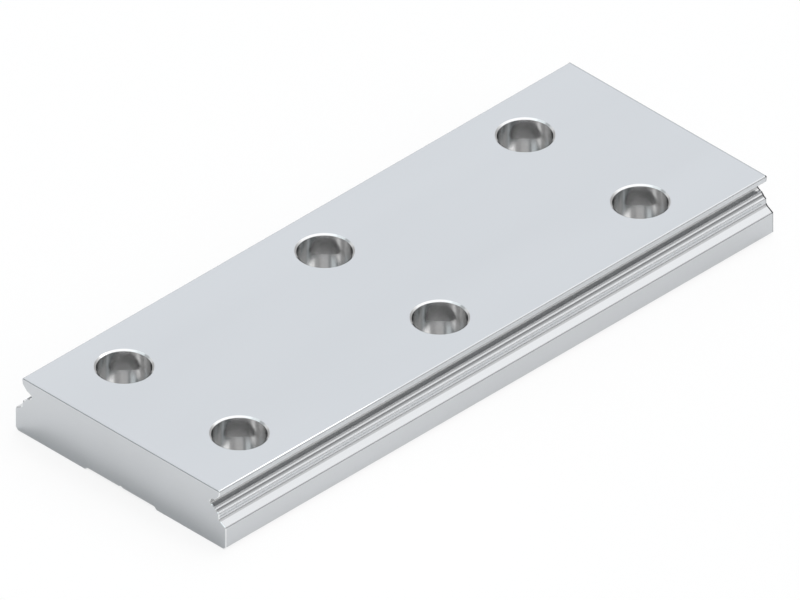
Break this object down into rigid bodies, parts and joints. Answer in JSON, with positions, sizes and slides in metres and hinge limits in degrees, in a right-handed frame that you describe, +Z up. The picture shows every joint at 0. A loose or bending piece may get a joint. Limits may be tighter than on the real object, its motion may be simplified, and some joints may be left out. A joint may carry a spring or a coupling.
{
  "type": "miniature linear guide rail",
  "caption": "Wide, low linear guide rail of ground steel, with a ball raceway along each side and two rows of counterbored screw holes through its top.",
  "frame": {"origin": "middle of the underside", "axes": "+X along the rail, towards the end that is farther from its last screw holes; +Y across it; +Z up"},
  "size_m": [0.1094, 0.042, 0.0095],
  "materials": {
    "ground_steel": "profile-ground bearing steel, fine marks along its length"
  },
  "bodies": {
    "root": {"guide_rail": "ground_steel"}
  },
  "joints": []
}
